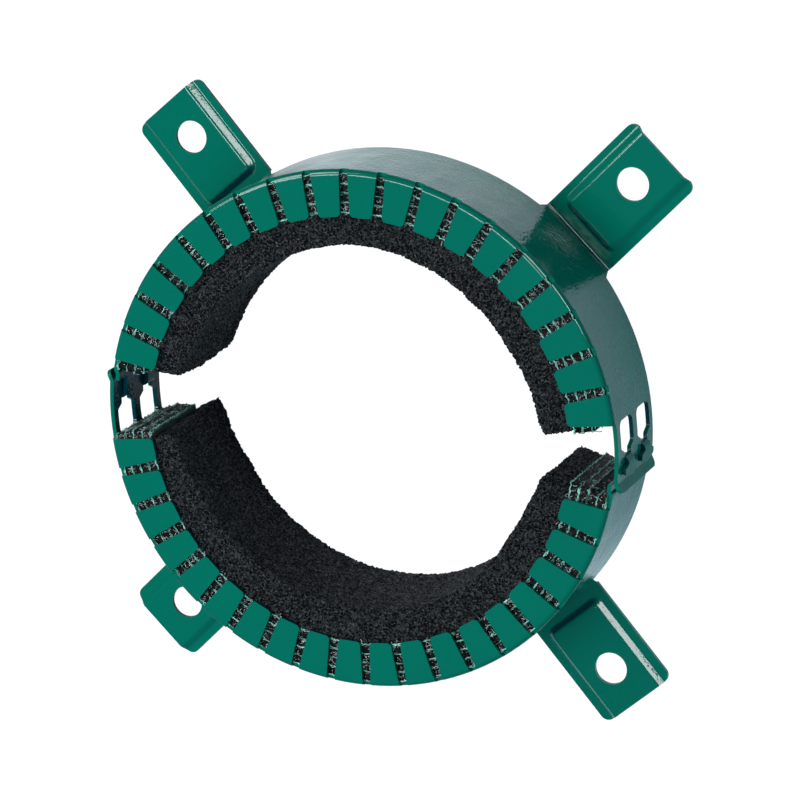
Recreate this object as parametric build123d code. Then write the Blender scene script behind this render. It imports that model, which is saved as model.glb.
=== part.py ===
from build123d import *
import os
from math import acos, asin, atan, cos, degrees, radians, sin, sqrt

# A pipe fire collar in two hooked halves, for a plastic pipe that goes through a wall or a ceiling.
# Millimetres and degrees. The pipe's axis is +Z, the lugs lie on the wall at z = 0, the teeth are on top.
# Each half is drawn about its own centre with its middle at 90 degrees, its slotted end on the +X side
# and its hooks on the -X side. The second half is the first one after half a turn.

# The folded sheet
sheet = 1.2
band_radius = 80.0
band_depth = 33.7
# From the wall to the band's back edge, which the lugs hold off the wall
wall_gap = 5.1
# Each half's centre lies this far beyond the pipe's axis, so the closed ring is a little flat
set_in = 1.75
# and this far along towards its own slotted end, so that the strip there lies outside the hooks
slide = 0.31
# Inside radius of the small folds
fold_radius = 0.6

# Teeth
tooth_count = 19
tooth_pitch = 8.475
tooth_root_width = 9.3
tooth_tip_width = 6.7
tooth_tip_radius = 66.1
tooth_corner = 1.3
# How far the gaps between the teeth are cut down from the front
notch_depth = 2.0

# Fixing lugs
# Each lug lies this many tooth pitches from the middle, towards the slotted end and towards the hooks
lug_pitches = (5.0, 5.05)
lug_width = 26.4
# The lug's sides spread by this much where they run into the band's back edge
lug_spread = 1.2
lug_reach = 116.0
lug_corner = 2.6
lug_bend_radius = 1.0
panel_width = 17.6
panel_rise = 1.7
# Foot of the panel's slope, beyond the panel's flat edge
panel_slope = 2.0
panel_start = 85.0
panel_corner = 1.2
# A press leaves the panel's creases round on top
panel_crest_radius = 1.8
panel_foot_radius = 1.4
hole_radius = 5.0
hole_reach = 103.3

# Slotted end, measured up from the half's own centre line
window_pitch = 14.9
window_width = 11.2
window_top = 14.4
window_foot = 6.4
window_corner = 2.4
window_foot_corner = 0.8
neck_top = 5.0
neck_width = 5.8
neck_corner = 0.8
# The flared lip, measured down from the half's own centre line
lip_start = 2.8
lip_flare = 30.0
lip_bend_radius = 1.0
lip_length = 2.9
lip_corner = 2.1

# Hooked end
# Running clearance between the sheet of one half and the sheet of the other
hook_clearance = 0.3
# The clearance on each side of a hook in its slot
hook_side = 0.4
# Where the band steps in to pass behind the other half's strip, up from the half's own centre line
step_start = 10.9
step_angle = 40.0
band_end = 7.2
# Inside the fold, on the strip's outer side
head_clearance = 0.15
head_length = 5.8
head_shoulder = 2.9
head_foot = 4.6
head_tip_width = 3.6
head_corner = 0.6

# Pack of swelling strips, from the band inwards
strip_count = 4
strip_thickness = 2.6
facing_thickness = 0.2
pack_clearance = 0.2
# Below the teeth
pack_drop = 0.3
# Ends of the outermost layer, in degrees short of the half's own centre line
pack_slot_end = 9.8
pack_hook_end = 8.6
# Each layer further in reaches this much closer to the centre line
layer_step = 0.25

# Foam pads
pipe_diameter = 110.0
pipe_clearance = 0.25
pad_clearance = 0.2
# The pads stand proud of the band's back edge, almost down to the wall that they seal on
pad_proud = 4.6
# Each pad was cut by hand: its two ends in degrees short of the half's own centre line
pad_ends = {"upper": (9.8, 12.0), "lower": (8.0, 6.5)}

# Worked out from the sizes above
band_inner = band_radius - sheet
band_middle = band_radius - sheet / 2
front = wall_gap + band_depth
notch_floor = front - notch_depth
strip_depth = notch_floor - wall_gap
strip_middle_height = (wall_gap + notch_floor) / 2
window_heights = [strip_middle_height + side * window_pitch / 2 for side in (-1, 1)]
pack_outer = band_inner - pack_clearance
pack_front = front - sheet - pack_drop
pack_inner = pack_outer - strip_count * strip_thickness - (strip_count + 1) * facing_thickness
tucked_radius = band_middle - sheet - hook_clearance + 2 * slide
# The fold's round centre is this high, so that the fold's top comes just to the half's own centre line
hook_fold_radius = (sheet + hook_clearance + head_clearance) / 2
hook_fold_height = hook_fold_radius + sheet
# Past the circles that a cutter has to clear
spare = 2.0


def bent_sheet(start, heading, legs):
    """Plan of a sheet that follows tangent legs, each a line (length, 0) or an arc (middle radius, turn)."""
    left_edge = []
    right_edge = []
    point = Vector(*start)
    for size, turn in legs:
        ahead = Vector(1, 0, 0).rotate(Axis.Z, heading)
        left = ahead.rotate(Axis.Z, 90)
        centre = point + left * (size if turn > 0 else -size)
        for edge, side in ((left_edge, sheet / 2), (right_edge, -sheet / 2)):
            begin = point + left * side
            if turn:
                arm = begin - centre
                middle = centre + arm.rotate(Axis.Z, turn / 2)
                edge.append(ThreePointArc(begin, middle, centre + arm.rotate(Axis.Z, turn)))
            else:
                edge.append(Line(begin, begin + ahead * size))
        point = centre + (point - centre).rotate(Axis.Z, turn) if turn else point + ahead * size
        heading += turn
    caps = [Line(left_edge[0] @ 0, right_edge[0] @ 0), Line(left_edge[-1] @ 1, right_edge[-1] @ 1)]
    return make_face(left_edge + right_edge + caps)


def on_circle(radius, angle):
    """The point of a circle about the half's own centre."""
    return (radius * cos(radians(angle)), radius * sin(radians(angle)))


def rise_angle(height, radius=band_middle):
    """The angle at which a circle of that radius has come to a height above the centre line."""
    return degrees(asin(height / radius))


def sector(inner, outer, bottom, top, start_angle, end_angle):
    """A piece of a tube between two angles."""
    outline = Pos((inner + outer) / 2, (bottom + top) / 2) * Rectangle(outer - inner, top - bottom)
    turned = revolve(Plane.XZ * outline, Axis.Z, end_angle - start_angle)
    return Rot(0, 0, start_angle) * turned


def tooth_prism(angle):
    """Everything above the notches that one tooth may fill, seen from the front."""
    taper = (tooth_root_width - tooth_tip_width) / (band_radius - tooth_tip_radius)
    outer = band_radius + spare
    outer_width = tooth_root_width + taper * spare
    outline = make_face(Polyline(
        (tooth_tip_radius, -tooth_tip_width / 2),
        (outer, -outer_width / 2),
        (outer, outer_width / 2),
        (tooth_tip_radius, tooth_tip_width / 2),
        close=True,
    ))
    outline = fillet(outline.vertices().group_by(Axis.X)[0], tooth_corner)
    prism = extrude(outline, notch_depth + spare)
    return Rot(0, 0, angle) * Pos(0, 0, notch_floor) * prism


def toothed_band():
    """The band with its folded teeth, from the lip to the step at the hooks."""
    section = make_face(Polyline(
        (band_inner, wall_gap),
        (band_radius, wall_gap),
        (band_radius, front),
        (tooth_tip_radius - spare / 2, front),
        (tooth_tip_radius - spare / 2, front - sheet),
        (band_inner, front - sheet),
        close=True,
    ))
    outer_corner = section.vertices().group_by(Axis.X)[-1].sort_by(Axis.Y)[-1]
    # Only the outside of the fold is rounded, because the pack hides the inside
    section = fillet(outer_corner, fold_radius + sheet)
    first = -rise_angle(lip_start)
    last = 180 - rise_angle(step_start)
    ring = Rot(0, 0, first) * revolve(Plane.XZ * section, Axis.Z, last - first)
    gaps = Pos(0, 0, notch_floor) * extrude(
        Circle(band_radius + spare / 2) - Circle(tooth_tip_radius - spare),
        notch_depth + spare / 2,
    )
    middle_tooth = (tooth_count - 1) / 2
    for index in range(tooth_count):
        gaps -= tooth_prism(90 + (index - middle_tooth) * tooth_pitch)
    return ring - gaps


def lug(angle):
    """A lug folded out from the band's back edge, with its raised panel and its hole."""
    half = lug_width / 2
    # The straight fold lies between the arc's middle and its ends, nearer to the ends
    fold_face = band_radius / 4 + sqrt(band_radius ** 2 - half ** 2) * 3 / 4
    fold_top = sheet + lug_bend_radius
    wide = half + lug_spread
    inner_end = sqrt(band_inner ** 2 - wide ** 2)
    outer_end = sqrt(band_radius ** 2 - wide ** 2)
    curved = make_face([
        ThreePointArc((inner_end, -wide), (band_inner, 0), (inner_end, wide)),
        Line((inner_end, wide), (outer_end, wide)),
        ThreePointArc((outer_end, wide), (band_radius, 0), (outer_end, -wide)),
        Line((outer_end, -wide), (inner_end, -wide)),
    ])
    straight = Pos(fold_face - sheet / 2, 0) * Rectangle(sheet, lug_width)
    root = loft([Pos(0, 0, fold_top) * straight, Pos(0, 0, wall_gap) * curved], ruled=True)

    bend = make_face([
        Line((fold_face - sheet, fold_top), (fold_face, fold_top)),
        RadiusArc((fold_face, fold_top), (fold_face + lug_bend_radius, sheet), lug_bend_radius),
        Line((fold_face + lug_bend_radius, sheet), (fold_face + lug_bend_radius, 0)),
        RadiusArc((fold_face + lug_bend_radius, 0), (fold_face - sheet, fold_top), -fold_top),
    ])
    bend = Pos(0, half, 0) * extrude(Plane.XZ * bend, lug_width)

    flange_start = fold_face + lug_bend_radius
    flange_length = lug_reach - flange_start
    outline = Pos((flange_start + lug_reach) / 2, 0) * Rectangle(flange_length, lug_width)
    outline = fillet(outline.vertices().group_by(Axis.X)[-1], lug_corner)
    flange = extrude(outline, sheet)

    # A press pushes the panel up from below, so the block is raised once above and once below the sheet
    foot_start = panel_start - panel_slope
    foot_end = lug_reach + panel_corner + 2 * panel_slope
    foot = Pos((foot_start + foot_end) / 2, 0) * RectangleRounded(
        foot_end - foot_start, panel_width + 2 * panel_slope, panel_corner + panel_slope
    )
    block = extrude(foot, panel_rise, taper=degrees(atan(panel_slope / panel_rise)))
    rounded = fillet(block.faces().sort_by(Axis.Z)[-1].edges(), panel_crest_radius)
    raised = Pos(0, 0, sheet) * rounded & extrude(outline, sheet + panel_rise)
    plate = flange + raised - block
    feet = plate.edges().filter_by_position(Axis.Z, sheet, sheet)
    feet = feet.filter_by_position(Axis.X, foot_start - 1, lug_reach - 1)
    feet = feet.filter_by_position(Axis.Y, -half + 1, half - 1)
    plate = fillet(feet, panel_foot_radius)
    plate -= Pos(hole_reach, 0, 0) * extrude(Circle(hole_radius), sheet + panel_rise + spare)
    return Rot(0, 0, angle) * (root + bend + plate)


def lip():
    """The flared end of the slotted strip, with its two rounded corners."""
    angle = -rise_angle(lip_start)
    plan = bent_sheet(
        on_circle(band_middle, angle),
        angle - 90,
        [(lip_bend_radius + sheet / 2, lip_flare), (lip_length, 0)],
    )
    flared = extrude(Pos(0, 0, wall_gap) * plan, strip_depth)
    end_face = flared.faces().sort_by(Axis((0, 0, 0), (sin(radians(lip_flare)), -cos(radians(lip_flare)), 0)))[-1]
    corners = end_face.edges().filter_by(Axis.Z, reverse=True)
    return fillet(corners, lip_corner)


def keyhole(height):
    """A window that a hook's head drops through, and the narrow slot below it that holds the hook."""
    # The slot ends where the hook's fold begins to turn
    slot_end = 2 * set_in - hook_fold_height
    wide = window_width / 2
    narrow = neck_width / 2
    outline = make_face(Polyline(
        (slot_end, -narrow), (neck_top, -narrow), (window_foot, -wide), (window_top, -wide),
        (window_top, wide), (window_foot, wide), (neck_top, narrow), (slot_end, narrow),
        close=True,
    ))
    outline = fillet(outline.vertices().filter_by_position(Axis.X, window_foot, window_foot), window_foot_corner)
    outline = fillet(outline.vertices().group_by(Axis.X)[-1], window_corner)
    outline = fillet(outline.vertices().group_by(Axis.X)[0], neck_corner)
    cutter = extrude(Plane.YZ * outline, 2 * spare)
    return Pos(band_middle - spare - sheet, 0, height) * cutter


def stepped_end():
    """The band's end that steps in by a sheet, so that the other half's strip lies flush over it."""
    start = rise_angle(step_start)
    small = fold_radius + sheet / 2
    # The first small arc touches the band's circle from inside, the second the tucked circle from outside
    lean = ((band_middle - small) * cos(radians(step_angle)) + 2 * small) / (tucked_radius + small)
    swing = step_angle - degrees(acos(lean))
    slope = (tucked_radius + small) * sin(radians(swing)) - 2 * small * sin(radians(step_angle))
    slope /= cos(radians(step_angle))
    remaining = start - swing - rise_angle(band_end, tucked_radius)
    legs = [(small, -step_angle), (slope, 0), (small, step_angle - swing), (tucked_radius, -remaining)]
    plan = bent_sheet(on_circle(band_middle, start), start - 90, legs)
    return extrude(Pos(0, 0, wall_gap) * plan, strip_depth)


def hook(height):
    """A stem behind the other half's strip, folded out through its slot, with a wide head outside."""
    width = neck_width - 2 * hook_side
    fold_middle = hook_fold_radius + sheet / 2
    begin = rise_angle(band_end, tucked_radius)
    fold_angle = rise_angle(hook_fold_height, tucked_radius + fold_middle)
    legs = [(tucked_radius, fold_angle - begin), (fold_middle, 180 - fold_angle)]
    plan = bent_sheet(on_circle(tucked_radius, begin), begin - 90, legs)
    stem = Pos(0, 0, height - width / 2) * extrude(plan, width)

    wide = (window_width - 2 * hook_clearance) / 2
    outline = make_face(Polyline(
        (hook_fold_height, -width / 2), (head_shoulder, -wide), (head_foot, -wide),
        (head_length, -head_tip_width / 2), (head_length, head_tip_width / 2),
        (head_foot, wide), (head_shoulder, wide), (hook_fold_height, width / 2),
        close=True,
    ))
    outline = fillet(outline.vertices().filter_by_position(Axis.X, head_shoulder, head_length), head_corner)
    face = (tucked_radius + fold_middle) * cos(radians(fold_angle)) + hook_fold_radius
    return stem + Pos(face, 0, height) * extrude(Plane.YZ * outline, sheet)


def half_shell():
    """One half of the housing, cut and folded from a single sheet."""
    shell = toothed_band() + lip()
    for side, pitches in zip((-1, 1), lug_pitches):
        shell += lug(90 + side * pitches * tooth_pitch)
    hooked = stepped_end()
    for height in window_heights:
        hooked += hook(height)
        shell -= keyhole(height)
    return shell + mirror(hooked, Plane.YZ)


def pack_layer(outer, thickness, layer):
    """A strip or a facing of the pack, bent to the band. Layers further in reach closer to the other half."""
    closer = layer * layer_step
    return sector(
        outer - thickness, outer, wall_gap, pack_front, pack_slot_end - closer, 180 - pack_hook_end + closer
    )


def foam_pad(slot_end, hook_end):
    """A pad that fills the space from the pack to the pipe. Its bore is round about the pipe's axis."""
    outer = pack_inner - pad_clearance
    back = wall_gap - pad_proud
    pad = sector(pipe_diameter / 4, outer, back, pack_front, slot_end, 180 - hook_end)
    bore = pipe_diameter / 2 + pipe_clearance
    return pad - Pos(-slide, set_in, back) * extrude(Circle(bore), pack_front - back)


def placed(piece, half):
    """A piece of one half in its place in the closed collar."""
    upper = Pos(slide, -set_in, 0) * piece
    return upper if half == "upper" else Rot(0, 0, 180) * upper


def save(name, piece):
    export_step(piece, f"parts/{name}.step")
    print(f"{name}: {len(piece.solids())} solid, {piece.volume / 1000:.2f} cm3")


os.makedirs("parts", exist_ok=True)
shell = half_shell()
for half in ("upper", "lower"):
    save(f"{half}_half_shell", placed(shell, half))
    radius = pack_outer
    for layer in range(strip_count + 1):
        facing = pack_layer(radius, facing_thickness, layer)
        save(f"{half}_scrim_facing_{layer + 1}", placed(facing, half))
        radius -= facing_thickness
        if layer < strip_count:
            strip = pack_layer(radius, strip_thickness, layer)
            save(f"{half}_swelling_strip_{layer + 1}", placed(strip, half))
            radius -= strip_thickness
    save(f"{half}_foam_pad", placed(foam_pad(*pad_ends[half]), half))
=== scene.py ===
# %% [markdown]
# This notebook dresses a pipe fire collar. The collar goes round a plastic pipe where the pipe passes
# through a wall. In a fire the strips behind the teeth swell and squeeze the soft pipe shut.
# The CAD model is the frame: it fixes every size, and each piece here goes where the CAD piece is.

# %% Load the frame
import math
import random

import bmesh
import bpy
import numpy as np
from mathutils import Matrix, Vector, noise


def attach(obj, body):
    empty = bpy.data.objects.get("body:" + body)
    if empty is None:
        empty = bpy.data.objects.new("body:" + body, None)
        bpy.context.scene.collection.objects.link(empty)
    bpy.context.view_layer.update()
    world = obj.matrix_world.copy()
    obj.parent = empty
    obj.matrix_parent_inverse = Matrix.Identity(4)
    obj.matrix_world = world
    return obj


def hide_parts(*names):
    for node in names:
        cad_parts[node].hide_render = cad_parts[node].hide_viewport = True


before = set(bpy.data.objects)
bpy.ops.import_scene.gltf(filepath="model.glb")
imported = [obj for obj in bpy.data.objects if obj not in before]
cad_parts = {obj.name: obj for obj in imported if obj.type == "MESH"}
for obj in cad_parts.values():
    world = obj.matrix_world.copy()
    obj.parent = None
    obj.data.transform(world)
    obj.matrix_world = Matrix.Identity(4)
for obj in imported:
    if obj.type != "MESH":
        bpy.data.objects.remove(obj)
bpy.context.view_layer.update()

# %% [markdown]
# The collar is two equal halves, the second one turned by half a turn. Each half is a ring about its own
# centre, a little beyond the pipe's axis. Points could be typed as x and y, but a ring is easier to think
# of by radius, angle and height. So one function turns those three into a place, and another reads a CAD
# piece's radii and heights, so that no size is guessed twice.

# %% Places on a half
MM = 0.001
HALVES = ("upper", "lower")
# Each half's centre lies this far beyond the pipe's axis, and this far along towards its slotted end
SET_IN = 1.75 * MM
SLIDE = 0.31 * MM
LAYERS = 4


def half_side(half):
    """1 for the half as it is drawn, -1 for the one that is turned by half a turn."""
    return 1 if half == "upper" else -1


def on_half(half, radius, angle, height):
    """Places from radius and height in metres and angle in degrees, the half's slotted end at 0."""
    turn = np.radians(angle)
    x = radius * np.cos(turn) + SLIDE
    y = radius * np.sin(turn) - SET_IN
    z = height + 0 * x
    side = half_side(half)
    return np.stack([side * x, side * y, z], -1)


def layer_limits(node, half):
    """Inner and outer radius and the two heights of a bent CAD piece."""
    side = half_side(half)
    points = np.array([vertex.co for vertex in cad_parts[node].data.vertices])
    radius = np.hypot(side * points[:, 0] - SLIDE, side * points[:, 1] + SET_IN)
    return radius.min(), radius.max(), points[:, 2].min(), points[:, 2].max()


for half in HALVES:
    print(half, "outer strip", [round(float(v), 4) for v in layer_limits(f"{half}_swelling_strip_1", half)])

# %% [markdown]
# The collar is seen on its teeth from far off with a long lens, and the picture is turned so that one
# half is on top. A short lens nearer by would fit the same frame, but it would spread the near lugs.

# %% Camera
CAMERA_AIM = Vector((6.3, 5.8, 19.4)) * MM
CAMERA_AZIMUTH = 38.99
CAMERA_ELEVATION = 63.31
CAMERA_ROLL = -124.4
CAMERA_DISTANCE = 1.0555
CAMERA_LENS = 160.84


def toward(azimuth, elevation):
    """The direction at that angle round from +X and above the wall, in degrees."""
    flat = math.cos(math.radians(elevation))
    return Vector((
        flat * math.cos(math.radians(azimuth)),
        flat * math.sin(math.radians(azimuth)),
        math.sin(math.radians(elevation)),
    ))


camera = bpy.data.objects.new("camera", bpy.data.cameras.new("camera"))
bpy.context.scene.collection.objects.link(camera)
bpy.context.scene.camera = camera
camera.data.lens = CAMERA_LENS
camera.data.sensor_width = 36
back = toward(CAMERA_AZIMUTH, CAMERA_ELEVATION)
camera.rotation_mode = "QUATERNION"
level = back.to_track_quat("Z", "Y")
camera.rotation_quaternion = level @ Matrix.Rotation(math.radians(CAMERA_ROLL), 3, "Z").to_quaternion()
camera.location = CAMERA_AIM + back * CAMERA_DISTANCE
print("camera at", [round(v, 3) for v in camera.location])

# %% [markdown]
# A material is a chain of nodes, and the same few kinds come back in every chain. They could be placed by
# hand in the shader editor, but a script is easier to repeat and to change. Each kind gets a small
# function here that takes plain numbers or the output of another node, so a chain reads like a sum.

# %% Material helpers


def new_material(name):
    """A material, its node tree and its Principled shader."""
    material = bpy.data.materials.new(name)
    material.use_nodes = True
    tree = material.node_tree
    return material, tree, tree.nodes["Principled BSDF"]


def feed(tree, source, socket):
    """Gives a socket a plain value, or links it to another node's output."""
    if isinstance(source, bpy.types.NodeSocket):
        tree.links.new(source, socket)
    else:
        socket.default_value = source


def add_node(tree, kind, sources=(), **settings):
    """A node of that kind. Settings are its own fields, sources go to its sockets by name or number."""
    node = tree.nodes.new(kind)
    for field, value in settings.items():
        setattr(node, field, value)
    for socket, source in dict(sources).items():
        feed(tree, source, node.inputs[socket])
    return node


def worked_out(tree, operation, *terms):
    """The outcome of one step of arithmetic."""
    return add_node(tree, "ShaderNodeMath", dict(enumerate(terms)), operation=operation).outputs[0]


def fade(tree, source, start, stop, first=0.0, last=1.0, **settings):
    """A value that goes from first to last while the source goes from start to stop."""
    ends = {"Value": source, "From Min": start, "From Max": stop, "To Min": first, "To Max": last}
    return add_node(tree, "ShaderNodeMapRange", ends, **settings).outputs[0]


def blend(tree, share, first, last):
    """A colour between two others."""
    return add_node(tree, "ShaderNodeMix", {0: share, 6: first, 7: last}, data_type="RGBA").outputs[2]


def speckle(tree, place, scale, detail):
    """A cloudy pattern with values about a half."""
    sources = {"Vector": place, "Scale": scale, "Detail": detail}
    return add_node(tree, "ShaderNodeTexNoise", sources).outputs["Fac"]


def own_place(tree):
    """The point's place in metres."""
    return add_node(tree, "ShaderNodeTexCoord").outputs["Object"]


def coordinate(tree, place, axis):
    """One coordinate of a place or a direction."""
    return add_node(tree, "ShaderNodeSeparateXYZ", {0: place}).outputs[axis]


# %% [markdown]
# Two effects come back in several finishes: patches of a lighter and a darker tone, and grains that each
# draw their own lot. A copy in each material would drift apart with time, so each is a node group with
# named sockets, built once and given its own values wherever it is used.

# %% Shared effects


def new_group(name, inputs, outputs):
    """A node group with its sockets, each with its kind, and the group's two end nodes."""
    group = bpy.data.node_groups.new(name, "ShaderNodeTree")
    for direction, sockets in (("INPUT", inputs), ("OUTPUT", outputs)):
        for socket, kind in sockets.items():
            group.interface.new_socket(name=socket, in_out=direction, socket_type="NodeSocket" + kind)
    return group, group.nodes.new("NodeGroupInput").outputs, group.nodes.new("NodeGroupOutput").inputs


patchy_tone, given, result = new_group(
    "patchy_tone",
    {
        "Place": "Vector", "Scale": "Float", "Detail": "Float", "Start": "Float", "Stop": "Float",
        "Dark": "Color", "Pale": "Color",
    },
    {"Tone": "Color"},
)
clouds = speckle(patchy_tone, given["Place"], given["Scale"], given["Detail"])
share = fade(patchy_tone, clouds, given["Start"], given["Stop"])
feed(patchy_tone, blend(patchy_tone, share, given["Dark"], given["Pale"]), result["Tone"])

grains, given, result = new_group(
    "grains",
    {"Place": "Vector", "Scale": "Float"},
    {"First Lot": "Float", "Second Lot": "Float", "Third Lot": "Float", "From Middle": "Float"},
)
cells = add_node(grains, "ShaderNodeTexVoronoi", {"Vector": given["Place"], "Scale": given["Scale"]})
lots = add_node(grains, "ShaderNodeSeparateColor", {0: cells.outputs["Color"]})
for number, name in enumerate(("First Lot", "Second Lot", "Third Lot")):
    feed(grains, lots.outputs[number], result[name])
feed(grains, cells.outputs["Distance"], result["From Middle"])


def patches(tree, scale, detail, start, stop, dark, pale):
    """The patchy tone with its own values in one material."""
    sources = {
        "Place": own_place(tree), "Scale": scale, "Detail": detail, "Start": start, "Stop": stop,
        "Dark": dark, "Pale": pale,
    }
    return add_node(tree, "ShaderNodeGroup", sources, node_tree=patchy_tone).outputs["Tone"]


print("groups", [group.name for group in bpy.data.node_groups])

# %% [markdown]
# The floor stands for the wall that the lugs lie on. One plain white material could serve, but its white
# would hang on the lamps. So the material asks who looks. The camera gets paper white with a faint shadow.

# %% Floor
FLOOR_HALF_WIDTH = 3.0
FLOOR_DROP = 0.3 * MM

corners = [(-1, -1), (1, -1), (1, 1), (-1, 1)]
places = [(x * FLOOR_HALF_WIDTH, y * FLOOR_HALF_WIDTH, -FLOOR_DROP) for x, y in corners]
floor_mesh = bpy.data.meshes.new("floor")
floor_mesh.from_pydata(places, [], [(0, 1, 2, 3)])
floor = bpy.data.objects.new("floor", floor_mesh)
bpy.context.scene.collection.objects.link(floor)
print("floor", 2 * FLOOR_HALF_WIDTH, "m wide")

# %% [markdown]
# The gloss paint mirrors the floor, so what the paint sees of it is drawn too. In a studio, white paper
# lies round the object and black cards stand further out. A real set of cards would work here as well,
# but a tone that depends on the place is quicker to tune. That tone also carries painted shadow and shade.

# %% The floor as the paint sees it
# Painted shadow on the paper as the gloss sees it: white up to the first distance along this side,
# and darkest from the second
FLOOR_SHADOW_SIDE = (0.97, 0.24, 0.0)
FLOOR_SHADOW_SPAN = (46 * MM, 86 * MM)
FLOOR_SHADOW_TONE = (0.56, 0.66, 0.7, 1)
FLOOR_WHITE_TONE = (0.95, 0.97, 1.0, 1)
# Further out from the pipe's axis the cards take over
FLOOR_CARDS_SPAN = (105 * MM, 170 * MM)
FLOOR_CARDS = 0.05
# Inside the ring less light comes down
FLOOR_BORE_SPAN = (71 * MM, 75 * MM)
FLOOR_IN_BORE = 0.85
# and on the -X side the paper takes painted shade
FLOOR_LEFT_SHADE_SPAN = (-50 * MM, -28 * MM)
FLOOR_LEFT_SHADE = 0.4
# Light that the floor gives the paint beyond what the lamps put on it
FLOOR_BOUNCE = 0.17

floor_material, tree, shader = new_material("pale_floor")
shader.inputs["Roughness"].default_value = 1.0
shader.inputs["Specular IOR Level"].default_value = 0.0
place = own_place(tree)
along = add_node(tree, "ShaderNodeVectorMath", {0: place, 1: FLOOR_SHADOW_SIDE}, operation="DOT_PRODUCT")
unshadowed = fade(tree, along.outputs["Value"], *FLOOR_SHADOW_SPAN[::-1], interpolation_type="SMOOTHSTEP")
away = add_node(tree, "ShaderNodeVectorMath", {0: place}, operation="LENGTH").outputs["Value"]
near = fade(tree, away, *FLOOR_CARDS_SPAN, 1.0, FLOOR_CARDS)
within = fade(tree, away, *FLOOR_BORE_SPAN, FLOOR_IN_BORE, 1.0)
left_shade = fade(tree, coordinate(tree, place, "X"), *FLOOR_LEFT_SHADE_SPAN, FLOOR_LEFT_SHADE, 1.0)
shade = worked_out(tree, "MULTIPLY", near, worked_out(tree, "MULTIPLY", within, left_shade))
sheen = blend(tree, unshadowed, FLOOR_SHADOW_TONE, FLOOR_WHITE_TONE)
paper = add_node(tree, "ShaderNodeVectorMath", {0: sheen, "Scale": shade}, operation="SCALE").outputs[0]
feed(tree, paper, shader.inputs["Base Color"])
feed(tree, paper, shader.inputs["Emission Color"])
shader.inputs["Emission Strength"].default_value = FLOOR_BOUNCE

# %% [markdown]
# To the camera the floor is nearly all glow, which is white whatever the lamps do. A little plain white is
# added, and that part alone takes the shadow. With glow alone the collar would seem to float.

# %% The floor as the camera sees it
# How much of the floor's white is its own, and how much comes from the lamps and keeps the shadow
FLOOR_GLOW = 0.985
FLOOR_SHADED = 0.10

shaded = add_node(tree, "ShaderNodeBsdfDiffuse", {"Color": (FLOOR_SHADED, FLOOR_SHADED, FLOOR_SHADED, 1)})
glow = add_node(tree, "ShaderNodeEmission", {"Color": (1, 1, 1, 1), "Strength": FLOOR_GLOW})
white = add_node(tree, "ShaderNodeAddShader", {0: shaded.outputs[0], 1: glow.outputs[0]})
path = add_node(tree, "ShaderNodeLightPath")
choice = add_node(
    tree, "ShaderNodeMixShader",
    {0: path.outputs["Is Camera Ray"], 1: shader.outputs[0], 2: white.outputs[0]},
)
feed(tree, choice.outputs[0], tree.nodes["Material Output"].inputs["Surface"])
floor_mesh.materials.append(floor_material)
print("floor material", floor_material.name, "with", len(tree.nodes), "nodes")

# %% [markdown]
# Large soft lamps suit gloss paint, because each lamp shows in it as a shape of its own. One big dome
# would light the collar too, but it would leave the folds without lines. Some lamps here only draw lines
# in the gloss, and others only brighten the dull faces, as a photographer's flags and cards would do.

# %% Lamps
LAMP_DISTANCE = 1.3


def softbox(name, azimuth, elevation, size, power, tilt=0, colour=(1, 1, 1)):
    """A lamp with an oblong face towards the collar, tilted about its own middle."""
    data = bpy.data.lights.new(name, "AREA")
    data.shape = "RECTANGLE"
    data.size, data.size_y = size
    data.energy = power
    data.color = colour
    lamp = bpy.data.objects.new(name, data)
    bpy.context.scene.collection.objects.link(lamp)
    direction = toward(azimuth, elevation)
    lamp.location = CAMERA_AIM + direction * LAMP_DISTANCE
    lamp.rotation_mode = "QUATERNION"
    turn = Matrix.Rotation(math.radians(tilt), 3, "Z").to_quaternion()
    lamp.rotation_quaternion = direction.to_track_quat("Z", "Y") @ turn
    return lamp


softbox("overhead_strip", 162, 71, (0.22, 0.85), 6, tilt=18)
softbox("key_softbox", 140, 40, (0.8, 0.4), 7, tilt=30)
# This strip is flagged off the collar's flat faces and only draws the bright lines along the edges
edges = softbox("edge_strip", 43, 42, (0.6, 0.24), 5)
edges.visible_diffuse = False
# The fills are kept out of the gloss. The low one only reaches the upright faces.
fill = softbox("cool_fill", 265, 78, (0.9, 0.9), 10.5, colour=(0.74, 1, 1.08))
fill.visible_glossy = False
low = softbox("low_fill", 348, 4, (0.8, 0.12), 3.4, colour=(0.5, 1, 1.25))
low.visible_glossy = False
print(len(bpy.data.lights), "lamps")

# %% [markdown]
# The world is the dim light of the room. It could be black, but then the folds that no lamp reaches would
# be black too. A faint blue keeps them a dark navy in the shade.

# %% World
WORLD_LIGHT = 0.1
WORLD_TINT = (0.3, 0.7, 1.3, 1)

world = bpy.data.worlds.new("studio")
bpy.context.scene.world = world
world.use_nodes = True
world.node_tree.nodes["Background"].inputs["Color"].default_value = WORLD_TINT
world.node_tree.nodes["Background"].inputs["Strength"].default_value = WORLD_LIGHT
bpy.context.scene.view_settings.view_transform = "Standard"
print("world light", WORLD_LIGHT)

# %% [markdown]
# The sheet is powder coated: a thick green gloss with a light orange peel and longer waves. Real relief
# for the peel would take millions of faces, so it is a bump. The colour goes between two near greens,
# because one even green looks like plastic. The powder sagged into a coarser skin on the upright faces.

# %% Paint: colour and skin
PAINT_GREEN = (0.0, 0.148, 0.096, 1)
PAINT_GREEN_DEEP = (0.0, 0.13, 0.084, 1)
# Clouds of the two greens, and the skin's peel and waves, to the metre
CLOUD_SCALE = 35.0
PEEL_SCALE = 900.0
WAVE_SCALE = 90.0
WAVES_TO_PEEL = 2.0
PEEL_DEPTH = 0.17 * MM
# How level a face is, from 0 when upright to 1, where the coarse skin ends, and what is left of it there
SAG_SPAN = (0.15, 0.45)
SAG_LEVEL = 0.16

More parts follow.
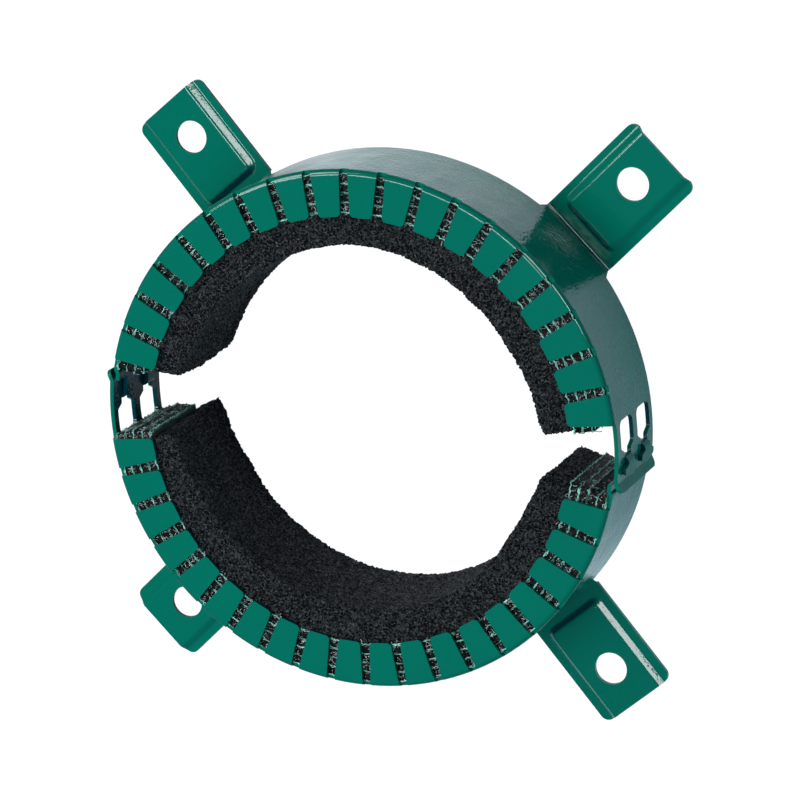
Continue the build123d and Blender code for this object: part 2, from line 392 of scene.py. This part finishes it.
paint, tree, shader = new_material("green_powder_paint")
tone = patches(tree, CLOUD_SCALE, 2.0, 0.0, 1.0, PAINT_GREEN_DEEP, PAINT_GREEN)
place = own_place(tree)
peel = speckle(tree, place, PEEL_SCALE, 2.0)
waves = speckle(tree, place, WAVE_SCALE, 1.0)
surface = add_node(tree, "ShaderNodeNewGeometry").outputs
lie = worked_out(tree, "ABSOLUTE", coordinate(tree, surface["True Normal"], "Z"))
bump = add_node(tree, "ShaderNodeBump", {
    "Distance": PEEL_DEPTH,
    "Strength": fade(tree, lie, *SAG_SPAN, 1.0, SAG_LEVEL),
    "Height": worked_out(tree, "MULTIPLY_ADD", waves, WAVES_TO_PEEL, peel),
})
feed(tree, bump.outputs["Normal"], shader.inputs["Normal"])
shader.inputs["IOR"].default_value = 1.52
print(paint.name, "peel", PEEL_SCALE, "waves", WAVE_SCALE, "to the metre")

# %% [markdown]
# Level cut edges deep down at the keyholes, and faces that look towards the axis, get painted shade: there
# the colour goes to a near navy. A second material on chosen faces would show a hard line, so two masks
# pick the places: level faces at the height of the keyholes and hooks, and faces that look towards the axis.

# %% Paint: painted shade
# The colour painted in as shade on deep cut edges and on faces towards the axis
PAINT_SHADE_NAVY = (0.0, 0.04, 0.05, 1)
# Where the painted shade lies on level cut edges: between these heights, and on faces this level
CUT_EDGE_FEET = (4 * MM, 6 * MM)
CUT_EDGE_TOPS = (34.5 * MM, 35.5 * MM)
CUT_EDGE_LEVEL = (0.8, 0.9)
# The outward share of a place's normal times its distance from the axis, over which the painted shade
# on faces towards the axis grows to full
INWARD_SHADE = (-20 * MM, -50 * MM)

height = coordinate(tree, surface["Position"], "Z")
above = fade(tree, height, *CUT_EDGE_FEET)
below = fade(tree, height, *CUT_EDGE_TOPS, 1.0, 0.0)
cut_level = fade(tree, lie, *CUT_EDGE_LEVEL)
shaded_cut_edge = worked_out(tree, "MULTIPLY", worked_out(tree, "MULTIPLY", above, below), cut_level)
flat = add_node(
    tree, "ShaderNodeVectorMath", {0: surface["Position"], 1: (1, 1, 0)}, operation="MULTIPLY"
).outputs["Vector"]
outward = add_node(
    tree, "ShaderNodeVectorMath", {0: flat, 1: surface["True Normal"]}, operation="DOT_PRODUCT"
).outputs["Value"]
# Painted shade: the larger of the two masks takes the colour to navy
painted_shade = worked_out(tree, "MAXIMUM", shaded_cut_edge, fade(tree, outward, *INWARD_SHADE))
feed(tree, blend(tree, painted_shade, tone, PAINT_SHADE_NAVY), shader.inputs["Base Color"])
print("thin coat on edges", round(CUT_EDGE_FEET[0], 4), "to", round(CUT_EDGE_TOPS[1], 4), "m up")

# %% [markdown]
# The hooks' heads and the flared lip stand out of the ring, where hands and tools rub them dull. They
# are the only places beyond the band's radius near the closures, so a mask by radius and side finds them.

# %% Paint: rubbed hooks and lip
RUBBED_RADIUS = (80.3 * MM, 80.6 * MM)
RUBBED_SIDE = (17 * MM, 19 * MM)
ROUGHNESS = (0.06, 0.3)
SPECULAR = (0.5, 0.15)

radius = add_node(tree, "ShaderNodeVectorMath", {0: flat}, operation="LENGTH").outputs["Value"]
off_line = worked_out(tree, "ABSOLUTE", coordinate(tree, surface["Position"], "Y"))
closure = fade(tree, off_line, *RUBBED_SIDE, 1.0, 0.0)
rubbed = worked_out(tree, "MULTIPLY", fade(tree, radius, *RUBBED_RADIUS), closure)
feed(tree, fade(tree, rubbed, 0.0, 1.0, *ROUGHNESS), shader.inputs["Roughness"])
feed(tree, fade(tree, rubbed, 0.0, 1.0, *SPECULAR), shader.inputs["Specular IOR Level"])
print("roughness", ROUGHNESS)

# %% [markdown]
# The shells are the CAD pieces themselves: folded sheet has nothing to sculpt. Only their edges need
# work, because a sharp edge catches no light and real paint rounds it. A bevel needs whole faces, so the
# CAD triangles are joined first.

# %% Painted shells
EDGE_ROUND = 0.32 * MM
SAME_POINT = 0.002 * MM
SAME_FACE = math.radians(0.4)
SHARP_EDGE = math.radians(32)


def clean_copy(node, name):
    """A copy of a CAD piece with its triangles joined into whole faces, ready for a bevel."""
    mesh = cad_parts[node].data.copy()
    mesh.name = name
    piece = bpy.data.objects.new(name, mesh)
    bpy.context.scene.collection.objects.link(piece)
    work = bmesh.new()
    work.from_mesh(mesh)
    bmesh.ops.remove_doubles(work, verts=work.verts, dist=SAME_POINT)
    bmesh.ops.dissolve_limit(work, angle_limit=SAME_FACE, verts=work.verts, edges=work.edges, delimit=set())
    work.to_mesh(mesh)
    work.free()
    if "custom_normal" in mesh.attributes:
        mesh.attributes.remove(mesh.attributes["custom_normal"])
    return piece


for half in HALVES:
    shell = clean_copy(f"{half}_half_shell", f"{half}_painted_shell")
    shell.data.materials.clear()
    shell.data.materials.append(paint)
    shell.data.shade_smooth()
    rounding = shell.modifiers.new("rounded_edges", "BEVEL")
    rounding.width = EDGE_ROUND
    rounding.segments = 2
    rounding.limit_method = "ANGLE"
    rounding.angle_limit = SHARP_EDGE
    rounding.harden_normals = True
    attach(shell, "root")
    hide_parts(f"{half}_half_shell")
    print(shell.name, len(shell.data.polygons), "faces")

# %% [markdown]
# The soft pieces are foam, pressed strips and woven scrim. On the real collar a knife cuts them, so their
# skins are rough and their ends are ragged. Sculpting by hand would do that once, but not again after a
# change. So a skin starts as a lattice that follows the ring, and each point is then pushed in or out
# along its normal.

# %% Skins


def block_skin(counts):
    """A box's skin: points as fractions across, along and up, and faces with four corners."""
    quads = []
    for axis in range(3):
        first = (axis + 1) % 3
        second = (axis + 2) % 3
        a, b = np.meshgrid(np.arange(counts[first]), np.arange(counts[second]), indexing="ij")
        for end in (0, counts[axis]):
            corners = np.empty(a.shape + (4, 3), int)
            corners[..., axis] = end
            for number, (da, db) in enumerate(((0, 0), (1, 0), (1, 1), (0, 1))):
                corners[..., number, first] = a + da
                corners[..., number, second] = b + db
            corners = corners.reshape(-1, 4, 3)
            quads.append(corners if end else corners[:, ::-1])
    quads = np.concatenate(quads)
    sizes = np.array(counts) + 1
    keys = (quads[..., 0] * sizes[1] + quads[..., 1]) * sizes[2] + quads[..., 2]
    kept, faces = np.unique(keys, return_index=True, return_inverse=True)[1:]
    points = quads.reshape(-1, 3)[kept] / np.array(counts)
    return points, faces.reshape(-1, 4)


def new_piece(name, places, faces, material):
    """An object with a mesh of its own and one material."""
    mesh = bpy.data.meshes.new(name)
    mesh.from_pydata([tuple(place) for place in places], [], [tuple(face) for face in faces])
    mesh.materials.append(material)
    mesh.shade_smooth()
    piece = bpy.data.objects.new(name, mesh)
    bpy.context.scene.collection.objects.link(piece)
    return piece


def roughen(mesh, height):
    """Moves each point along its normal by the height in metres that its place gives."""
    places = np.empty(len(mesh.vertices) * 3)
    normals = np.empty(len(mesh.vertices) * 3)
    mesh.vertices.foreach_get("co", places)
    mesh.vertex_normals.foreach_get("vector", normals)
    heights = [height(Vector(place)) for place in places.reshape(-1, 3)]
    places += normals * np.repeat(heights, 3)
    mesh.vertices.foreach_set("co", places)
    mesh.update()


print("a block of 2 x 2 x 2 has", len(block_skin((2, 2, 2))[1]), "faces")

# %% [markdown]
# Open-cell foam is a web of thin struts round round pores, about a millimetre wide here. Real struts
# would take millions of faces. So the material draws them: dark pores with their own lots of grey, and
# a paler web between them that breaks off here and there. The pores' dark is painted shade in the holes,
# the web's grey is partly painted sheen of lit struts, and faces that look up get painted shade as well.

# %% Foam material
# Pores to the metre
PORES = 1050.0
# Pores: the foam's own black, deepened as painted shade in the holes. Struts: grey partly as painted sheen
FOAM_DEEP = (0.0008, 0.0009, 0.001, 1)
FOAM_STRUT = (0.122, 0.126, 0.128, 1)
DENT_DEPTH = 0.5 * MM
# A pore's floor takes its grey from its lot. The power leaves most floors black, and the light is the most
# that any has.
LOT_POWER = 4.0
PORE_LIGHT = 0.5
# From a pore's edge inwards, in pore widths
STRUT_SPAN = (0.05, 0.22)
# Values of the cloudy pattern between which a strut goes from broken to whole, and its light when broken
BREAK_SCALE = 1500.0
BREAK_SPAN = (0.42, 0.68)
BROKEN_STRUT = 0.06
# How far a face looks up where the painted shade on the front starts and where it is full,
# and the share of the colour left under it
FRONT_SHADE_SPAN = (0.4, 0.9)
FRONT_SHADE = 0.6

foam_paint, tree, shader = new_material("black_foam")
place = own_place(tree)
pores = add_node(tree, "ShaderNodeGroup", {"Place": place, "Scale": PORES}, node_tree=grains)
few_pale = worked_out(tree, "POWER", pores.outputs["First Lot"], LOT_POWER)
pore_floors = worked_out(tree, "MULTIPLY", few_pale, PORE_LIGHT)
rims = add_node(tree, "ShaderNodeTexVoronoi", {"Vector": place, "Scale": PORES}, feature="DISTANCE_TO_EDGE")
web = fade(tree, rims.outputs["Distance"], *STRUT_SPAN, 1.0, 0.0)
whole = fade(tree, speckle(tree, place, BREAK_SCALE, 1.0), *BREAK_SPAN, BROKEN_STRUT, 1.0)
struts = worked_out(tree, "MAXIMUM", worked_out(tree, "MULTIPLY", web, whole), pore_floors)
surface = add_node(tree, "ShaderNodeNewGeometry").outputs
# Painted shade on faces that look up, at the foam's front
front_shade = fade(tree, coordinate(tree, surface["True Normal"], "Z"), *FRONT_SHADE_SPAN, 1.0, FRONT_SHADE)
tone = blend(tree, worked_out(tree, "MULTIPLY", struts, front_shade), FOAM_DEEP, FOAM_STRUT)
feed(tree, tone, shader.inputs["Base Color"])
dents = add_node(tree, "ShaderNodeBump", {"Strength": 1.0, "Distance": DENT_DEPTH, "Height": web})
feed(tree, dents.outputs["Normal"], shader.inputs["Normal"])
shader.inputs["Roughness"].default_value = 0.5
shader.inputs["Specular IOR Level"].default_value = 0.06
print(foam_paint.name, PORES, "pores to the metre")

# %% [markdown]
# Each foam liner was cut by hand, so its bore isn't round and its ends lean and bow. A plain ring with
# noise would look machined. The bore is drawn here from a few radii, and the ends from a few angles.

# %% Foam cuts
PACK_FRONT = 37.3 * MM
FOAM_BACK = 0.55 * MM
# The bore's radius in millimetres about the pipe's axis, by the angle from the half's slotted end
BORES = {
    "upper": (
        (6, 58.5), (10, 56.8), (18, 56.4), (34, 55.2), (60, 55.3), (90, 55.9), (125, 54.7), (141, 55.7),
        (161, 56.6), (168, 57.4), (172, 59.0),
    ),
    "lower": (
        (6, 61.5), (11, 59.2), (16, 58.6), (27, 56.4), (47, 55.6), (60, 54.9), (90, 54.6), (121, 54.8),
        (153, 54.2), (165, 55.4), (175, 57.6),
    ),
}
# How far each end stops short of the half's centre line, in degrees: at the bore, back and front,
# then at the pack, back and front. The slotted end comes first.
FOAM_ENDS = {
    "upper": (((6.7, 6.7), (9.5, 9.5)), ((9.6, 9.4), (10.6, 10.1))),
    "lower": (((6.6, 8.6), (10.2, 10.9)), ((6.5, 6.5), (9.3, 8.5))),
}
# The knife bowed at the hooked end, so it stands out by this many degrees half-way up
FOAM_BELLY = {"upper": 1.8, "lower": 0.0}


def cut_at(end, across, up):
    """How far short of the centre line a place of an end's cut lies."""
    (bore_back, bore_front), (pack_back, pack_front) = end
    at_bore = bore_back + (bore_front - bore_back) * up
    at_pack = pack_back + (pack_front - pack_back) * up
    return at_bore + (at_pack - at_bore) * across


for half in HALVES:
    print(half, "bore from", min(radius for angle, radius in BORES[half]), "mm in radius")

# %% [markdown]
# The material's pores lie flat on the skin, so against the white behind it the rim would be a clean line.
# The lattice is fine enough to carry the larger pits and some soft lumps, and they tear the rim.

# %% Foam pits
PORE = 1.05 * MM
PIT = 0.65 * MM
# A pore is fully open where the next pore's middle lies this much further off than its own, in pores
OPEN_PORE = 0.45
FOAM_LUMP = 5 * MM
FOAM_LUMP_HEIGHT = 0.3 * MM
# The whole skin lies this much further out to make up for the pits
FOAM_LIFT = 0.15 * MM


def pore_pits(place):
    """How far a place of the foam's skin sinks into a pore or rises on a lump."""
    spacing = noise.voronoi(place / PORE)[0]
    open_pore = min(1.0, (spacing[1] - spacing[0]) / OPEN_PORE)
    lump = noise.noise(place / FOAM_LUMP)
    return -PIT * open_pore + FOAM_LUMP_HEIGHT * lump + FOAM_LIFT


print("pits up to", round(PIT, 5), "m deep")

# %% [markdown]
# Every place of a liner lies somewhere between its bore and the pack, so both surfaces are worked out
# first and the lattice is drawn between them. The steps are short enough for one pore to take two of
# them.

# %% Foam liners
FOAM_LATTICE = (22, 330, 74)

for half in HALVES:
    node = f"{half}_foam_pad"
    outer = layer_limits(node, half)[1]
    points, faces = block_skin(FOAM_LATTICE)
    across, along, up = points.T
    start = cut_at(FOAM_ENDS[half][0], across, up)
    end = 180 - cut_at(FOAM_ENDS[half][1], across, up) + FOAM_BELLY[half] * 4 * up * (1 - up)
    angle = start + (end - start) * along
    height = FOAM_BACK + (PACK_FRONT - FOAM_BACK) * up
    bore = np.interp(angle, *zip(*BORES[half])) * MM
    # The bore is round about the pipe's axis, and the outside about the half's own centre
    to_axis = np.array((-SLIDE, SET_IN, 0)) * half_side(half)
    inside = on_half(half, bore, angle, height) + to_axis
    outside = on_half(half, outer + 0 * angle, angle, height)
    places = inside + (outside - inside) * across[:, None]
    liner = new_piece(f"{half}_foam_liner", places, faces, foam_paint)
    roughen(liner.data, pore_pits)
    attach(liner, "root")
    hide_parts(node)
    print(liner.name, len(faces), "faces")

# %% [markdown]
# The strips are graphite pressed with binder and pale fibres. Their colour could be one dark noise, but
# flecks are what the eye finds on a cut edge. So each grain draws lots: most are near black, and one in
# ten is a pale fleck that is smaller than its grain.

# %% Strip material
GRAIN_SCALE = 2600.0
GRAIN_DEPTH = 0.4 * MM
PALE_LOT = 0.9
FLECK_SIZE = 0.34
GRAPHITE = ((0.001, 0.001, 0.001, 1), (0.009, 0.008, 0.008, 1))
FLECKS = ((0.5, 0.42, 0.4, 1), (0.85, 0.85, 0.82, 1))

strip_paint, tree, shader = new_material("pressed_graphite")
sources = {"Place": own_place(tree), "Scale": GRAIN_SCALE}
lots = add_node(tree, "ShaderNodeGroup", sources, node_tree=grains).outputs
pale = worked_out(tree, "GREATER_THAN", lots["First Lot"], PALE_LOT)
core = worked_out(tree, "LESS_THAN", lots["From Middle"], FLECK_SIZE)
fleck = worked_out(tree, "MULTIPLY", pale, core)
ground = blend(tree, lots["Second Lot"], *GRAPHITE)
tint = blend(tree, lots["Third Lot"], *FLECKS)
feed(tree, blend(tree, fleck, ground, tint), shader.inputs["Base Color"])
relief = add_node(tree, "ShaderNodeBump", {
    "Strength": 1.0, "Distance": GRAIN_DEPTH, "Height": lots["Second Lot"],
})
feed(tree, relief.outputs["Normal"], shader.inputs["Normal"])
shader.inputs["Roughness"].default_value = 0.5
shader.inputs["Specular IOR Level"].default_value = 0.15
print(strip_paint.name, GRAIN_SCALE, "grains to the metre")

# %% [markdown]
# Four strips lie on each other in each half. They were sheared to length by hand, so the ends don't line
# up and the edges crumble. The crumbs are real relief, because they show against the white behind them.

# %% Swelling strips
# The layers' ends from the band inwards, in degrees short of the half's centre line. The slotted end
# comes first.
PACK_ENDS = {
    "upper": ((10.9, 10.2, 9.2, 8.9, 8.9), (8.1, 8.1, 8.0, 8.9, 11.0)),
    "lower": ((9.7, 9.3, 8.8, 9.0, 9.15), (7.9, 8.3, 7.3, 7.45, 6.75)),
}
STRIP_LATTICE = (5, 330, 12)
# The width and the height of the crumbs and of the lumps, and how far the whole skin lies in
CRUMB = (0.8 * MM, 0.3 * MM)
STRIP_LUMP = (3.5 * MM, 0.2 * MM)
STRIP_SINK = 0.08 * MM


def crumble(place):
    """How far a place of a strip's skin stands out."""
    height = -STRIP_SINK
    for width, most in (CRUMB, STRIP_LUMP):
        height += most * noise.noise(place / width)
    return height


for half in HALVES:
    for layer in range(1, LAYERS + 1):
        node = f"{half}_swelling_strip_{layer}"
        inner, outer, low, high = layer_limits(node, half)
        points, faces = block_skin(STRIP_LATTICE)
        across, along, up = points.T
        slot_ends, hook_ends = PACK_ENDS[half]
        start = slot_ends[layer - 1] + (slot_ends[layer] - slot_ends[layer - 1]) * (1 - across)
        end = 180 - hook_ends[layer - 1] - (hook_ends[layer] - hook_ends[layer - 1]) * (1 - across)
        angle = start + (end - start) * along
        places = on_half(half, inner + (outer - inner) * across, angle, low + (high - low) * up)
        strip = new_piece(f"{half}_graphite_strip_{layer}", places, faces, strip_paint)
        roughen(strip.data, crumble)
        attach(strip, "root")
        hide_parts(node)
    print(half, LAYERS, "strips of", len(faces), "faces")

# %% [markdown]
# A glass scrim dyed mint lies on both sides of every strip. Its weave is far too fine to model whole, so
# two sine waves across each other draw it on the flat cloth, and only the loose threads are real tubes.

# %% Scrim material
WEAVE = 0.55 * MM
WEAVE_DEPTH = 0.2 * MM
GAUZE = ((0.004, 0.02, 0.014, 1), (0.02, 0.12, 0.085, 1))

scrim_paint, tree, shader = new_material("mint_scrim")
cloth = add_node(tree, "ShaderNodeUVMap").outputs[0]
waves = []
for axis in ("X", "Y"):
    turns = worked_out(tree, "MULTIPLY", coordinate(tree, cloth, axis), 2 * math.pi / WEAVE)
    waves.append(worked_out(tree, "SINE", turns))
over = worked_out(tree, "MAXIMUM", *waves)
feed(tree, blend(tree, fade(tree, over, 0.2, 0.8), *GAUZE), shader.inputs["Base Color"])
woven = add_node(tree, "ShaderNodeBump", {"Strength": 0.8, "Distance": WEAVE_DEPTH, "Height": over})
feed(tree, woven.outputs["Normal"], shader.inputs["Normal"])
shader.inputs["Roughness"].default_value = 0.45
print(scrim_paint.name, "weave", WEAVE, "m")

# %% [markdown]
# Loose threads keep the scrim's mint, darker where graphite dust sticks to them. The strips shed short
# pale fibres, dusty in places too. Both take the patchy tone with their own colours.

# %% Thread and fibre materials
THREAD_TONES = ((0.012, 0.08, 0.05, 1), (0.32, 0.74, 0.57, 1))
FIBRE_TONES = ((0.03, 0.026, 0.026, 1), (0.75, 0.7, 0.7, 1))

thread_paint, tree, shader = new_material("mint_thread")
feed(tree, patches(tree, 300.0, 3.0, 0.35, 0.62, *THREAD_TONES), shader.inputs["Base Color"])
shader.inputs["Roughness"].default_value = 0.4

fibre_paint, tree, shader = new_material("pale_fibre")
feed(tree, patches(tree, 500.0, 2.0, 0.42, 0.62, *FIBRE_TONES), shader.inputs["Base Color"])
shader.inputs["Roughness"].default_value = 0.35
print("threads", thread_paint.name, "and fibres", fibre_paint.name)

# %% [markdown]
# A thread is a thin tube along a wandering path. Curves with a round bevel would do it too, but hundreds
# of them are slow, so each tube's rings are worked out here and all tubes of a piece share one mesh. One
# seeded source of random numbers makes every run the same.

# %% Threads
THREAD = 0.15 * MM
FIBRE = 0.06 * MM

rng = random.Random(5)


def thread_skin(path, radius, sides=5):
    """Points and faces of a thread that follows a path of points."""
    path = np.array(path)
    ahead = np.gradient(path, axis=0)
    ahead /= np.linalg.norm(ahead, axis=1)[:, None]
    side = np.cross(ahead[0], (0, 0, 1) if abs(ahead[0][2]) < 0.9 else (1, 0, 0))
    turns = np.arange(sides) * 2 * math.pi / sides
    rings = []
    for point, direction in zip(path, ahead):
        side = side - direction * side.dot(direction)
        side /= np.linalg.norm(side)
        up = np.cross(direction, side)
        rings.append(point + radius * (np.outer(np.cos(turns), side) + np.outer(np.sin(turns), up)))
    faces = []
    for ring in range(len(path) - 1):
        for k in range(sides):
            near = ring * sides
            after = (k + 1) % sides
            faces.append((near + k, near + after, near + sides + after, near + sides + k))
    last = (len(path) - 1) * sides
    faces.append(tuple(range(sides))[::-1])
    faces.append(tuple(range(last, last + sides)))
    return np.concatenate(rings), faces


def joined(skins):
    """Several skins as one list of points and one of faces."""
    places = []
    faces = []
    count = 0
    for skin_places, skin_faces in skins:
        places.append(skin_places)
        faces += [tuple(int(k) + count for k in face) for face in skin_faces]
        count += len(skin_places)
    return np.concatenate(places), faces


def wander(value, size, seed):
    """A smooth random number between about minus size and size."""
    return size * noise.noise(Vector((value, seed * 7.31, seed * 1.7)))


print("threads", 2 * THREAD, "m thick, fibres", 2 * FIBRE, "m")

# %% [markdown]
# Short glass fibres stand out of the strips wherever they are cut. A particle system could scatter them,
# but it needs a surface and gives them all one shape. Here each fibre walks a few steps and turns a little
# at each one.

# %% Fibre paths
PACK_OUTER = 78.5 * MM
PACK_INNER = 67.3 * MM
PATH_STEPS = 6
# A fibre rises by this much times its steps from the foot and its steps to the tip
ARCH = 0.04 * MM
# A fibre's foot on the pack's cut end lies between these heights, and more often high up
FIBRE_FEET = (5.6 * MM, 36.8 * MM)


def fibre(half, radius, angle, height):
    """A short curled glass fibre that stands out of the pack's front edge."""
    step = rng.uniform(0.1, 0.32) * MM
    heading = rng.uniform(0, 2 * math.pi)
    curl = rng.uniform(-0.7, 0.7)
    path = []
    for k in range(PATH_STEPS):
        arch = ARCH * k * (PATH_STEPS - 1 - k)
        path.append(on_half(half, np.array(radius), np.array(angle), height + arch))
        radius += step * math.cos(heading)
        angle += math.degrees(step * math.sin(heading) / radius)
        heading += curl
    return thread_skin(path, FIBRE * rng.uniform(0.7, 1.3), sides=4)


def end_fibre(half, radius, angle, height, step, curl):
    """The path of a curled fibre that lies on the pack's cut end."""
    heading = rng.uniform(0, 2 * math.pi)
    path = []
    for k in range(PATH_STEPS):
        path.append(on_half(half, np.array(radius), np.array(angle), height))
        radius += step * math.cos(heading)
        height += step * math.sin(heading)
        angle += rng.uniform(-0.12, 0.12)
        heading += curl
    return path


def end_place(half, end):
    """A random place on the pack's cut end, a little outside it. End 0 is the slotted end."""
    layer = rng.uniform(0, LAYERS)
    short = np.interp(layer, range(LAYERS + 1), PACK_ENDS[half][end]) - rng.uniform(0.05, 0.35)
    radius = PACK_OUTER - (PACK_OUTER - PACK_INNER) * layer / LAYERS
    height = FIBRE_FEET[0] + (FIBRE_FEET[1] - FIBRE_FEET[0]) * rng.random() ** 0.6
    return radius, 180 - short if end else short, height


print("fibre feet from", FIBRE_FEET[0], "to", FIBRE_FEET[1], "m up")

# %% [markdown]
# The fibres show in two places: on the pack's two cut ends, and in the gaps between the teeth. Under the
# middle of a tooth nobody sees them, so none is made there, which keeps the mesh small.

# %% Pale fibres
TEETH = 19
TOOTH_PITCH = 8.475
FIBRES_PER_GAP = 55
# Fibres lie up to this many degrees from a gap's middle, so the outer ones reach a little under the teeth
GAP_REACH = 1.9
END_FIBRES = 120
END_MARGIN = 0.3

for half in HALVES:
    skins = []
    for end in (0, 1):
        for count in range(END_FIBRES):
            path = end_fibre(half, *end_place(half, end), rng.uniform(0.1, 0.3) * MM, rng.uniform(-0.7, 0.7))
            skins.append(thread_skin(path, FIBRE * rng.uniform(0.8, 1.4), sides=4))
    first = max(PACK_ENDS[half][0]) + END_MARGIN
    last = 180 - max(PACK_ENDS[half][1]) - END_MARGIN
    for gap in range(TEETH + 1):
        middle = 90 + (gap - TEETH / 2) * TOOTH_PITCH
        for count in range(FIBRES_PER_GAP):
            radius = rng.uniform(66.5, 78.2) * MM
            angle = min(max(middle + rng.uniform(-GAP_REACH, GAP_REACH), first), last)
            skins.append(fibre(half, radius, angle, PACK_FRONT + rng.uniform(-0.1, 0.25) * MM))
    fibres = new_piece(f"{half}_pale_fibres", *joined(skins), fibre_paint)
    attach(fibres, "root")
    print(fibres.name, len(skins), "fibres")

# %% [markdown]
# Where a scrim was cut its threads stand out. They lie broken along the front edge between the teeth, and
# their cut ends make dashed lines down the pack's ends. A bump can't stand out of an edge, so these
# threads are tubes too: two lanes along the front, and one stub for each thread of the weave.

# %% Scrim threads
# Degrees for one millimetre along the pack's outside
DEGREES_PER_MM = 57.3 / 78
# A stub starts this many degrees inside the pack
STUB_ROOT = 0.6
# A lane of front threads lies this far to each side of the scrim, and wanders this far aside and up
LANE = 0.08 * MM
WANDER_ASIDE = 0.6 * MM
WANDER_UP = 0.45 * MM


def front_threads(half, radius, start, end, height, seed):
    """Broken threads along the front edge of one scrim."""
    skins = []
    for lane in (-1, 1):
        angle = start
        while angle < end - 1:
            length = rng.uniform(3, 10)
            stop = min(angle + length, end)
            steps = np.linspace(angle, stop, max(4, int((stop - angle) / 0.5)))
            path = []
            for step in steps:
                aside = radius + lane * LANE + wander(step * 1.3, WANDER_ASIDE, seed + lane)
                above = height + wander(step * 1.1, WANDER_UP, seed + lane + 40)
                path.append(on_half(half, np.array(aside), np.array(step), above))
            skins.append(thread_skin(path, THREAD * rng.uniform(0.8, 1.3)))
            angle = stop + rng.uniform(0.05, 0.6)
    return skins


def end_stubs(half, radius, angle, outward, low, high):
    """Cut thread ends that stand out of the pack's end, one for each thread of the weave."""
    skins = []
    height = low + WEAVE
    while height < high:
        reach = outward * rng.uniform(0.1, 0.55) * DEGREES_PER_MM
        drift = rng.uniform(-0.25, 0.25) * MM
        rise = rng.uniform(-0.2, 0.2) * MM
        path = []
        for part in (0, 0.5, 1):
            step = angle - outward * STUB_ROOT + (outward * STUB_ROOT + reach) * part
            path.append(on_half(half, np.array(radius + drift * part), np.array(step), height + rise * part))
        skins.append(thread_skin(path, THREAD * rng.uniform(0.9, 1.4)))
        height += WEAVE * rng.uniform(0.85, 1.15)
    return skins


print("one millimetre is", round(DEGREES_PER_MM, 3), "degrees at the pack's ends")

# %% [markdown]
# Each scrim is a ribbon on its CAD facing, with its ends where its strip ends. The ribbon also needs flat
# coordinates for the weave: unwrapping would find some, but the length along the bend and the height are
# known already, so they are written straight to the mesh.

# %% Scrims
SCRIM_LATTICE = (1, 340, 10)
# Curled threads on the pack's two ends for each scrim
END_CURLS = 2

for half in HALVES:
    for layer in range(1, LAYERS + 2):
        node = f"{half}_scrim_facing_{layer}"
        inner, outer, low, high = layer_limits(node, half)
        middle = (inner + outer) / 2
        start = PACK_ENDS[half][0][layer - 1]
        stop = 180 - PACK_ENDS[half][1][layer - 1]
        points, faces = block_skin(SCRIM_LATTICE)
        across, along, up = points.T
        angle = start + (stop - start) * along
        height = low + (high - low) * up
        places = on_half(half, inner + (outer - inner) * across, angle, height)
        ribbon = new_piece(f"{half}_scrim_{layer}", places, faces, scrim_paint)
        flat = np.stack([np.radians(angle) * middle, height], -1)
        corners = np.empty(len(ribbon.data.loops), int)
        ribbon.data.loops.foreach_get("vertex_index", corners)
        ribbon.data.uv_layers.new(name="weave").data.foreach_set("uv", flat[corners].ravel())

        seed = 10 * layer + 5
        skins = front_threads(half, middle, start, stop, high + 0.05 * MM, seed)
        skins += end_stubs(half, middle, start, -1, low, high)
        skins += end_stubs(half, middle, stop, 1, low, high)
        for end in (0, 1):
            for count in range(END_CURLS):
                foot = end_place(half, end)
                path = end_fibre(half, *foot, rng.uniform(0.2, 0.6) * MM, rng.uniform(-0.6, 0.6))
                skins.append(thread_skin(path, THREAD * rng.uniform(0.6, 0.9), sides=4))
        threads = new_piece(f"{half}_loose_threads_{layer}", *joined(skins), thread_paint)
        for piece in (ribbon, threads):
            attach(piece, "root")
            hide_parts(node)
    print(half, "scrims, the last with", len(skins), "threads")
